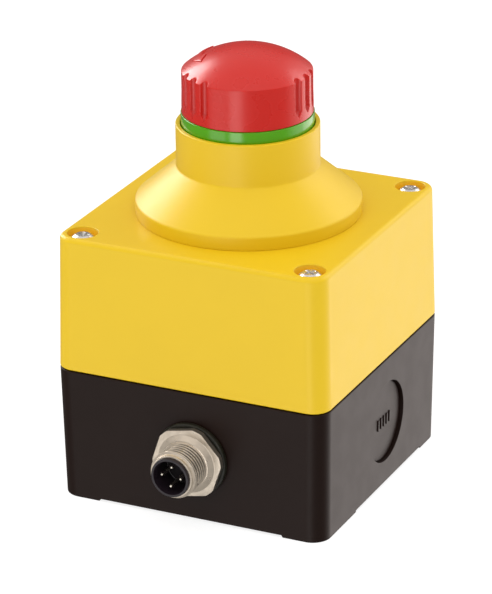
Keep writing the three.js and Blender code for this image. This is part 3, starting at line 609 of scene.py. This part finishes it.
def cover_housing():
    ceiling = COVER_TOP_Z - WALL
    tongue = HALF - LIP - GAP
    bottom = PARTING_Z + GAP / 2
    shell = box_skin([
        (cover_half(ceiling) - WALL, ceiling, 1.5), (cover_half(TONGUE_Z) - WALL, TONGUE_Z, 0.15),
        (tongue, TONGUE_Z, 0.2), (tongue, bottom, 0), (HALF, bottom, 0.4),
        (cover_half(COVER_TOP_Z), COVER_TOP_Z, 1.2),
    ], cover_half)
    change(shell, "UNION", at_corners(
        lambda: lathe([
            (0, TONGUE_Z, 0), (BOSS_R, TONGUE_Z, 0.2), (BOSS_R, ceiling + 1, 0), (0, ceiling + 1, 0),
        ], 64), SCREW_POS))
    cutters = at_corners(
        lambda: hole(RECESS_R, COVER_TOP_Z - RECESS_DEPTH, COVER_TOP_Z, 0.22, 0.3), SCREW_POS)
    cutters.append(hole(PANEL_HOLE_R, ceiling - 1, COVER_TOP_Z, 0.2, steps=ROUND))
    change(shell, "DIFFERENCE", cutters)
    change(shell, "DIFFERENCE", at_corners(
        lambda: lathe([
            (0, TONGUE_Z - 1, 0), (SCREW_HOLE_R, TONGUE_Z - 1, 0),
            (SCREW_HOLE_R, COVER_TOP_Z - 1, 0), (0, COVER_TOP_Z - 1, 0),
        ], 48), SCREW_POS))
    return shell


def cross_recess(top, depth, half):
    """Cutter for a cross recess whose wings narrow towards the bottom."""
    wings = []
    for turn in (0, 90):
        rows = []
        for z, long, wide in ((top - depth, 0.35 * half, 0.22), (top, half, 0.4), (top + 1, 1.4 * half, 0.5)):
            rows.append(rounded_rectangle(long, wide, wide - 0.03, z, 5))
        wings.append(moved(skin(rows, capped=True), Matrix.Rotation(math.radians(turn), 4, "Z")))
    return wings


def cover_screw():
    low, high = span("cover_screw_1")
    head_r, shaft_r, pitch = (high.x - low.x) / 2, 1.5, 0.8
    top, tip = high.z, low.z
    seat = top - 1.45
    plain_z = seat - 13  # where the plain shank starts, above the thread
    core_r = shaft_r - 0.32
    columns = 48
    rows = [[Vector((0, 0, tip))]]
    count = 10  # rows to a turn
    thread_rows = int((plain_z - 1 - tip) / pitch * count)
    for k in range(thread_rows + 1):
        z = tip + 0.3 + k * pitch / count
        grow = min(1.0, (k + 1) / (1.5 * count))
        fade = min(1.0, (thread_rows - k) / count)
        row = []
        for i in range(columns):
            phase = (z / pitch - i / columns) % 1
            r = (core_r + (shaft_r - core_r) * abs(2 * phase - 1) * fade) * grow
            a = math.tau * i / columns
            row.append(Vector((r * math.cos(a), r * math.sin(a), z)))
        rows.append(row)
    head = rounded([
        (core_r, plain_z - 0.5, 0), (shaft_r, plain_z, 0), (shaft_r, seat, 0.1), (head_r, seat, 0.12),
        (head_r, seat + 0.7, 0.35), (0.62 * head_r, top, 0.5), (0, top, 0),
    ], 15)
    rows += [circle(p.x, p.y, columns) for p in head]
    screw = skin(rows)
    for wing in cross_recess(top, 1.05, 0.56 * head_r):
        change(screw, "DIFFERENCE", [wing])
    return screw


finish(base_housing(), "base_moulding", "base_housing")
finish(cover_housing(), "cover_moulding", "cover_housing")
screw_turns = (18, -31, 64, 7)  # degrees that each screw was left at
first_screw = cover_screw()
for number, ((sx, sy), turn) in enumerate(zip(CORNERS, screw_turns), 1):
    screw = first_screw.copy()
    screw.data = first_screw.data.copy()
    bpy.context.scene.collection.objects.link(screw)
    moved(screw, Matrix.Rotation(math.radians(turn), 4, "Z"))
    shifted(screw, sx * SCREW_POS, sy * SCREW_POS)
    finish(screw, f"pan_head_screw_{number}", f"cover_screw_{number}")
bpy.data.objects.remove(first_screw)


# Guard collar

def guard_collar():
    seat = COVER_TOP_Z + 0.02
    outer = COLLAR_R
    top = COLLAR_TOP_Z
    rim_z = 71.8
    foot_r = 25  # inner edge of the foot
    neck_r, neck_z = 17.55, 80.5
    bore_r, floor_z = 16.4, 79.7
    hub_r, hub_z = 14.2, seat + 1.2
    web_r, web_z = 16, floor_z - 2.2  # underside of the web between neck and hub
    return lathe([
        (foot_r, seat, 0.1), (outer - 0.05, seat, 0.12), (outer, rim_z, 0.8), (neck_r, neck_z, 0.55),
        (neck_r, top, 0.32), (bore_r, top, 0.2), (bore_r, floor_z, 0.3),
        (PANEL_HOLE_R, floor_z, 0.15), (PANEL_HOLE_R, hub_z, 0), (hub_r, hub_z, 0),
        (hub_r, web_z, 0.3), (web_r, web_z, 0.3), (foot_r, rim_z - 0.8, 0.3),
    ])


finish(guard_collar(), "collar_moulding", "guard_cone", "guard_sleeve", "guard_hub")


# Head

SKIRT_R = 16.0
RIM_R = 15.9
SKIRT_Z = span("head_cap")[0].z
RIM_Z = 104.4
DOME_RISE = 5.9
DOME_R = (RIM_R ** 2 + DOME_RISE ** 2) / (2 * DOME_RISE)
DOME_CENTRE_Z = RIM_Z + DOME_RISE - DOME_R
FLUTE_R = 1.08
FLUTE_LIP = 0.26
FLUTE_START_Z = 95.5
FLUTE_TAPER = 1.4
FLUTE_SPACING = 14.5  # degrees
FLUTES = [group + step * FLUTE_SPACING for group in (0, 120, 240) for step in (-1, 0, 1)]
RIM_EDGE = 0.12
HEAD_WALL = 2.2
CEILING_STEPS = 6
DOME_STEPS = 26


def dome_z(r):
    return DOME_CENTRE_Z + math.sqrt(DOME_R ** 2 - r ** 2)


def arc(centre, start, end, steps):
    """Points from start to end round centre, the short way."""
    first, last = start - centre, end - centre
    sweep = first.angle_signed(last)
    points = []
    for k in range(steps + 1):
        turned = first.copy()
        turned.rotate(Matrix.Rotation(-sweep * k / steps, 2))
        points.append(centre + turned)
    return points


def fluted_outline(skirt_r, share):
    """The skirt's outline, counter-clockwise, with each flute at this share of its full size."""
    flute_r, lip = FLUTE_R * share, FLUTE_LIP * share
    axis = Vector((RIM_R, 0))
    inner = skirt_r - lip
    cosine = (inner ** 2 + RIM_R ** 2 - (flute_r + lip) ** 2) / (2 * RIM_R * inner)
    gamma = math.acos(min(cosine, 1))
    lip_centre = Vector((inner * math.cos(gamma), inner * math.sin(gamma)))
    touch = axis + (lip_centre - axis) * flute_r / (flute_r + lip)
    skirt_touch = lip_centre * skirt_r / inner
    upper_lip = arc(lip_centre, touch, skirt_touch, 4)
    bowl = arc(axis, Vector((axis.x - flute_r, 0)), touch, 6)
    half = bowl + upper_lip[1:]
    flute = [Vector((p.x, -p.y)) for p in half[:0:-1]] + half
    points = []
    for here, following in zip(FLUTES, FLUTES[1:] + [FLUTES[0] + 360]):
        spin = Matrix.Rotation(math.radians(here), 2)
        points += [spin @ p for p in flute]
        low, high = math.radians(here) + gamma, math.radians(following) - gamma
        count = 48 if following - here > 30 else 6
        for k in range(1, count):
            a = low + (high - low) * k / count
            points.append(Vector((skirt_r * math.cos(a), skirt_r * math.sin(a))))
    return points


def skirt_r(z):
    return SKIRT_R + (RIM_R - SKIRT_R) * (z - SKIRT_Z) / (RIM_Z - SKIRT_Z)


def head_body():
    full = fluted_outline(skirt_r(RIM_Z), 1.0)
    angles = [math.atan2(p.y, p.x) for p in full]

    def plain(r, z):
        return [Vector((r * math.cos(a), r * math.sin(a), z)) for a in angles]

    inner_r = SKIRT_R - HEAD_WALL
    ceiling = [(inner_r - 0.4) * k / CEILING_STEPS for k in range(1, CEILING_STEPS + 1)]
    ceiling_z = [DOME_CENTRE_Z + math.sqrt((DOME_R - HEAD_WALL) ** 2 - r ** 2) for r in ceiling]
    rows = [[Vector((0, 0, DOME_CENTRE_Z + DOME_R - HEAD_WALL))]]
    rows += [plain(r, z) for r, z in zip(ceiling, ceiling_z)]
    rows.append(plain(inner_r, ceiling_z[-1] - 0.8))
    edge = rounded([
        (inner_r, SKIRT_Z + 3, 0), (inner_r, SKIRT_Z, 0.2), (SKIRT_R, SKIRT_Z, 0.18),
        (SKIRT_R, SKIRT_Z + 3, 0),
    ])
    rows += [plain(p.x, p.y) for p in edge[1:-1]]
    tip = fluted_outline(skirt_r(FLUTE_START_Z), 0.06)
    for share in (0.25, 0.6, 0.85):
        z = SKIRT_Z + 0.3 + (FLUTE_START_Z - SKIRT_Z - 0.3) * share
        blended = []
        for a, p in zip(angles, tip):
            b = a + math.remainder(math.atan2(p.y, p.x) - a, math.tau) * share
            blended.append(Vector((skirt_r(z) * math.cos(b), skirt_r(z) * math.sin(b), z)))
        rows.append(blended)
    for share in (0.06, 0.13, 0.22, 0.34, 0.48, 0.64, 0.82, 1.0):
        z = FLUTE_START_Z + FLUTE_TAPER * share
        rows.append([Vector((p.x, p.y, z)) for p in fluted_outline(skirt_r(z), share)])
    count = len(full)
    inward = []
    for i, p in enumerate(full):
        tangent = (full[(i + 1) % count] - full[i - 1]).normalized()
        inward.append(Vector((-tangent.y, tangent.x)))
    low_z = FLUTE_START_Z + FLUTE_TAPER
    for share in (0.35, 0.7, 1.0):
        row = []
        for p in full:
            high_z = dome_z(p.length) - RIM_EDGE
            row.append(Vector((p.x, p.y, low_z + (high_z - low_z) * share)))
        rows.append(row)
    for k in range(1, RIM_STEPS + 1):
        a = math.radians(90 * k / RIM_STEPS)
        row = []
        for p, n in zip(full, inward):
            q = p + n * RIM_EDGE * (1 - math.cos(a))
            row.append(Vector((q.x, q.y, dome_z(q.length) - RIM_EDGE * (1 - math.sin(a)))))
        rows.append(row)
    rim = [p + n * RIM_EDGE for p, n in zip(full, inward)]
    for k in range(1, DOME_STEPS):
        ring = [p * (1 - k / DOME_STEPS) for p in rim]
        rows.append([Vector((p.x, p.y, dome_z(p.length))) for p in ring])
    rows.append([Vector((0, 0, dome_z(0)))])
    return skin(rows)


def arrow():
    """A turn arrow raised on the dome, swept round the axis with rounded upper edges."""
    tail, neck, tip, swept = -196, -155, -138, 2.5  # degrees round the axis
    r, shaft, barb, rise, edge = 11.5, 0.75, 1.75, 0.3, 0.1
    shaft_steps, tip_steps = 20, 8
    stations = [
        (tail + (neck - tail) * k / shaft_steps, shaft, 0.0) for k in range(shaft_steps + 1)]
    stations += [(neck, barb, swept)]
    for k in range(1, tip_steps + 1):
        share = k / tip_steps
        stations.append((neck + (tip - neck) * share, barb * (1 - share) + 0.02, swept * (1 - share)))
    rows = []
    for degrees, width, lean in stations:
        row = []
        half = [(-0.5, 0), (rise - edge, 0), (rise - 0.3 * edge, 0.3), (rise, 1)]
        section = [(-1, *p) for p in half] + [(0, rise, 0)] + [(1, *p) for p in reversed(half)]
        for side, height, inset in section:
            across = r + side * max(width - inset * min(edge, width / 2), 0.01)
            a = math.radians(degrees - side * lean)
            z = dome_z(across) + height
            row.append(Vector((across * math.cos(a), across * math.sin(a), z)))
        rows.append(row)
    return skin(rows, capped=True)


def indicator_ring():
    """It reaches almost up to the skirt that it is clipped to."""
    low, high = span("indicator_ring")
    inner, outer, top = 13.9, high.x + 0.07, SKIRT_Z - 0.08
    return lathe([(inner, low.z, 0.2), (outer, low.z, 0.25), (outer, top, 0.12), (inner, top, 0.12)])


finish(change(head_body(), "UNION", [arrow()]), "cap_moulding", "head_cap")
finish(indicator_ring(), "ring_moulding", "indicator_ring")


# Connector: made along +Z, its axis then laid along -Y

def plugged(tool):
    return moved(tool, Matrix.Translation((PLUG_X, 0, PLUG_Z)) @ Matrix.Rotation(math.pi / 2, 4, "X"))


SHELL_BORE_R = 5.02
HEX_FLATS = 17.0
HEX_TURN = 11.2
HEX_CORNER_R = 9.15
THREAD_PITCH = 1.0
THREAD_DEPTH = 0.56
THREAD_START = NOSE_D + 1.15
THREAD_END = NOSE_D + 6.95


def hex_r(angle):
    """Distance from the axis to the hexagon, whose corners are turned off to a circle."""
    from_flat = math.remainder(math.degrees(angle) - HEX_TURN - 30, 60)
    return min(HEX_FLATS / 2 / math.cos(math.radians(from_flat)), HEX_CORNER_R)


def thread_r(d, angle):
    """Radius of the right-hand outer thread, which runs out at both ends."""
    phase = ((d - THREAD_START) / THREAD_PITCH - angle / math.tau) % 1
    root, flank = 0.22, 0.62  # shares of half a pitch
    crest = min(max((abs(2 * phase - 1) - root) / flank, 0), 1)
    fade = min((d - THREAD_START) / 0.5, (THREAD_END - d) / 0.4, 1)
    return THREAD_R - THREAD_DEPTH * (1 - crest) * max(fade, 0)


def connector_shell():
    columns = 300
    angles = [math.tau * i / columns for i in range(columns)]
    rear, rear_r = WALL_FACE - 10.2, 7.9
    low_edge = 0.12
    front_chamfer = 0.12
    rim_r = 5.45  # the plain front of the barrel, ahead of the thread
    inner = rounded([
        (SHELL_BORE_R, RIM_D, 0), (SHELL_BORE_R, rear, 0.15), (rear_r, rear, 0.3), (rear_r, FLANGE_D, 0),
    ])
    rows = [[(p.x, p.y)] * columns for p in inner]
    rows.append([(hex_r(a) - low_edge, FLANGE_D) for a in angles])
    rows.append([(hex_r(a), FLANGE_D + low_edge) for a in angles])
    slope = front_chamfer / (HEX_CORNER_R - HEX_FLATS / 2 + 0.1)
    rows.append([(hex_r(a), NOSE_D - slope * (hex_r(a) - HEX_FLATS / 2 + 0.1)) for a in angles])
    rows.append([(HEX_FLATS / 2 - 0.1, NOSE_D)] * columns)
    boss = rounded([
        (8.3, NOSE_D, 0), (7.5, NOSE_D, 0.3), (6.3, NOSE_D + 1, 0.3), (THREAD_R, NOSE_D + 1.1, 0),
    ])
    rows += [[(p.x, p.y)] * columns for p in boss[1:]]
    steps = 11
    for k in range(1, int(5.9 / THREAD_PITCH * steps)):
        d = NOSE_D + 1.1 + THREAD_PITCH * k / steps
        rows.append([(thread_r(d, a), d) for a in angles])
    front = rounded([
        (THREAD_R, RIM_D - 1.15, 0), (rim_r, RIM_D - 0.85, 0.1), (rim_r, RIM_D, 0.12),
        (SHELL_BORE_R, RIM_D, 0),
    ])
    rows += [[(p.x, p.y)] * columns for p in front[:-1]]
    placed = []
    for row in rows:
        placed.append([Vector((r * math.cos(a), r * math.sin(a), d)) for (r, d), a in zip(row, angles)])
    return plugged(skin(placed, ring=True))


PIN_TURN = -3.7  # degrees
PIN_HOLE_R = 0.62
PIN_NODES = [f"connector_pin_{i}" for i in (1, 2, 3, 4)]


def connector_insert():
    """The cup round the pins, with its key."""
    rear, face, floor = WALL_FACE - 10.1, WALL_FACE + 12.5, WALL_FACE + 5.3
    cup = lathe([
        (0, rear, 0), (4.96, rear, 0.2), (4.96, face, 0.2), (4.3, face, 0.12), (4.25, floor, 0.2),
        (0, floor, 0),
    ], 128)
    rows = [rounded_rectangle(0.6, 0.45, 0.12, z, 4) for z in (floor - 0.5, face - 1.1)]
    rows.append(rounded_rectangle(0.5, 0.35, 0.08, face - 1, 4))
    key = shifted(skin(rows, capped=True), 4.05)
    change(cup, "UNION", [moved(key, Matrix.Rotation(math.radians(PIN_TURN + 45), 4, "Z"))])
    holes = []
    for node in PIN_NODES:
        low, high = span(node)
        middle = (low + high) / 2
        bore = lathe([
            (0, rear - 1, 0), (PIN_HOLE_R, rear - 1, 0), (PIN_HOLE_R, floor + 1, 0), (0, floor + 1, 0),
        ], 32)
        holes.append(shifted(bore, middle.x - PLUG_X, middle.z - PLUG_Z))
    change(cup, "DIFFERENCE", holes)
    return plugged(cup)


def connector_pin(node):
    low, high = span(node)
    middle = (low + high) / 2
    r, tip, rear = 0.5, -low.y, -high.y
    pin = lathe([
        (0, rear, 0), (r, rear, 0.1), (r, tip - 0.5, 0.3), (0.55 * r, tip, 0.2), (0, tip, 0),
    ], 40)
    return plugged(shifted(pin, middle.x - PLUG_X, middle.z - PLUG_Z))


def connector_seal():
    inner, outer = 8.5, 9.5
    low, high = WALL_FACE + 0.3, WALL_FACE + 1.6
    return plugged(lathe([
        (inner, low, 0.1), (outer - 0.1, low, 0.2), (outer, (low + high) / 2 - 0.1, 0.3),
        (outer - 0.1, high, 0.35), (inner, high, 0.1),
    ], 160))


finish(connector_shell(), "plug_shell_turned", "connector_shell")
finish(connector_insert(), "plug_insert_moulding", "connector_insert", material=GLOSS_BLACK)
finish(connector_seal(), "plug_seal_ring", "connector_seal")
for pin_node in PIN_NODES:
    finish(connector_pin(pin_node), f"{pin_node}_turned", pin_node)


# Springs

def spring(node, wire_r, turns):
    """A helical compression spring with closed ends, filling its CAD node's box."""
    low, high = span(node)
    middle = (low + high) / 2
    r = (high.x - low.x) / 2 - wire_r
    bottom, top = low.z + wire_r, high.z - wire_r
    steps, sides = int(40 * turns), 12
    closed = 0.75  # turns at each end that lie flat
    coil = 2 * wire_r * 1.02  # pitch of the closed turns
    rows = []
    for k in range(steps + 1):
        turn = turns * k / steps
        share = min(max((turn - closed) / (turns - 2 * closed), 0), 1)
        flat = coil * (min(turn, closed) + max(turn - turns + closed, 0))
        z = bottom + flat + (top - bottom - 2 * coil * closed) * share
        a = math.tau * turn
        out = Vector((math.cos(a), math.sin(a), 0))
        row = []
        for side in range(sides):
            b = math.tau * side / sides
            row.append(Vector((0, 0, z + wire_r * math.sin(b))) + out * (r + wire_r * math.cos(b)))
        rows.append(row)
    return shifted(skin(rows, capped=True), middle.x, middle.y)


def pressed_spring(node, wire_r, turns):
    """A spring given a mesh of its own; the press joint shortens the real one by its travel, from its fixed
    lower end.
    """
    piece = finish(spring(node, wire_r, turns), f"{node}_wire", node)
    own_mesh(piece)


pressed_spring("return_spring", 0.5, 6.5)
pressed_spring("contact_spring_left", 0.35, 7)
pressed_spring("contact_spring_right", 0.35, 7)
finish(spring("reset_spring", 0.5, 6), "reset_spring_wire", "reset_spring")


# CAD nodes that keep their own shape get the finished materials

replaced = {node for piece in bpy.data.objects for node in piece.get("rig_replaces", [])}
for node, obj in frame["nodes"].items():
    if node not in replaced:
        obj.data.materials.clear()
        obj.data.materials.append(MATERIALS[slot_of[node]])


# Floor, lights and camera

def studio_floor():
    """A floor that glows enough to stay white in the object's shadow."""
    shader = Shader("studio_floor", 0.7)
    paper = shader.ramp(shader.noise(40.0, 2.0), 0.3, 0.7)
    shader.colour(shader.mix(paper, (0.29, 0.29, 0.29), (0.31, 0.31, 0.31)))
    shader.bsdf.inputs["Emission Color"].default_value = (1, 1, 1, 1)
    shader.bsdf.inputs["Emission Strength"].default_value = 0.82
    half_side, thickness = 3.0, 0.01  # metres
    floor = skin([
        [Vector((sx * half_side, sy * half_side, z)) for sx, sy in CORNERS] for z in (0, -thickness)
    ], capped=True)
    floor.name = "floor"
    floor.data.materials.append(shader.material)
    floor.visible_glossy = False
    floor.visible_shadow = False


CAMERA_AZIMUTH = 25.618
CAMERA_ELEVATION = 22.804
CAMERA_ROLL = -0.732
CAMERA_DISTANCE = 0.8859
AIM = Vector((-0.88, -0.42, 45.05)) * MM
SENSOR = 36.0
LENS = 217.8


def direction(azimuth, elevation):
    """Unit vector towards a point seen from the object; azimuth 0 is -Y, 90 is +X."""
    a, e = math.radians(azimuth), math.radians(elevation)
    return Vector((math.sin(a) * math.cos(e), -math.cos(a) * math.cos(e), math.sin(e)))


def soft_light(
        name, azimuth, elevation, distance, width, height, radiance,
        colour=(1, 1, 1), diffuse=True, glossy=True):
    """A rectangular light that faces the object, with its brightness given as radiance."""
    light = bpy.data.lights.new(name, "AREA")
    light.shape = "RECTANGLE"
    light.size = width
    light.size_y = height
    light.energy = radiance * math.pi * width * height
    light.color = colour
    lamp = bpy.data.objects.new(name, light)
    bpy.context.scene.collection.objects.link(lamp)
    back = direction(azimuth, elevation)
    lamp.location = AIM + back * distance
    lamp.rotation_euler = back.to_track_quat("Z", "Y").to_euler()
    lamp.visible_camera = False
    lamp.visible_diffuse = diffuse
    lamp.visible_glossy = glossy


def world_light():
    """A pale studio: brighter behind on the right, darker below in front."""
    world = bpy.data.worlds.new("studio")
    bpy.context.scene.world = world
    world.use_nodes = True
    tree = world.node_tree
    background = tree.nodes["Background"]
    coordinates = tree.nodes.new("ShaderNodeTexCoord")

    def lobe(towards, low, high, strength):
        dot = tree.nodes.new("ShaderNodeVectorMath")
        dot.operation = "DOT_PRODUCT"
        tree.links.new(coordinates.outputs["Generated"], dot.inputs[0])
        dot.inputs[1].default_value = towards
        ramp = tree.nodes.new("ShaderNodeMapRange")
        ramp.interpolation_type = "SMOOTHSTEP"
        tree.links.new(dot.outputs["Value"], ramp.inputs["Value"])
        for socket, number in zip(ramp.inputs[1:5], (low, high, 0.0, strength)):
            socket.default_value = number
        return ramp.outputs["Result"]

    total = None
    for towards, low, high, strength in WORLD_LOBES:
        value = lobe(towards, low, high, strength)
        if total is not None:
            add = tree.nodes.new("ShaderNodeMath")
            add.operation = "ADD"
            tree.links.new(total, add.inputs[0])
            tree.links.new(value, add.inputs[1])
            value = add.outputs[0]
        total = value
    tree.links.new(total, background.inputs["Strength"])
    background.inputs["Color"].default_value = (1.0, 0.97, 0.945, 1)


WORLD_LOBES = [
    (direction(0, 90), -1.5, -1.2, 0.16),  # everywhere
    (direction(0, 90), 0.2, 0.85, 0.76),  # sky
    (direction(140, 2), 0.62, 0.9, 1.25),  # bright wall on the right, behind
]


def studio():
    world_light()
    soft_light("top_light", 20, 65, 1.2, 1.2, 1.2, 1.05, glossy=False)
    soft_light("front_light", -20, 30, 1.4, 1.4, 1.0, 0.62, glossy=False)
    soft_light("right_light", 62, 25, 1.4, 1.2, 1.2, 0.42, glossy=False)
    soft_light("left_light", 285, 15, 1.4, 1.2, 1.2, 1.3, glossy=False)
    soft_light("strip_light", 5, -12, 1.2, 0.42, 1.1, 2.7, diffuse=False)
    soft_light("front_card", -28, -22, 1.2, 0.6, 0.6, 1.1, diffuse=False)
    soft_light("right_card", 154, -22, 1.2, 0.8, 0.8, 1.2, (1, 0.88, 0.83), diffuse=False)
    soft_light("right_window", 146, 34, 1.2, 0.6, 0.5, 2.6, diffuse=False)
    soft_light("left_window", 250, 26, 1.2, 0.6, 0.75, 9.8, diffuse=False)


def camera():
    data = bpy.data.cameras.new("camera")
    data.lens = LENS
    data.sensor_width = SENSOR
    data.clip_end = 20
    view = bpy.data.objects.new("camera", data)
    bpy.context.scene.collection.objects.link(view)
    back = direction(CAMERA_AZIMUTH, CAMERA_ELEVATION)
    right = Vector((0, 0, 1)).cross(back).normalized()
    up = back.cross(right)
    roll = math.radians(CAMERA_ROLL)
    tilted_right = right * math.cos(roll) + up * math.sin(roll)
    tilted_up = up * math.cos(roll) - right * math.sin(roll)
    turn = Matrix((tilted_right, tilted_up, back)).transposed().to_4x4()
    view.matrix_world = Matrix.Translation(AIM + back * CAMERA_DISTANCE) @ turn
    bpy.context.scene.camera = view


studio_floor()
studio()
camera()
bpy.context.scene.view_settings.view_transform = "Standard"
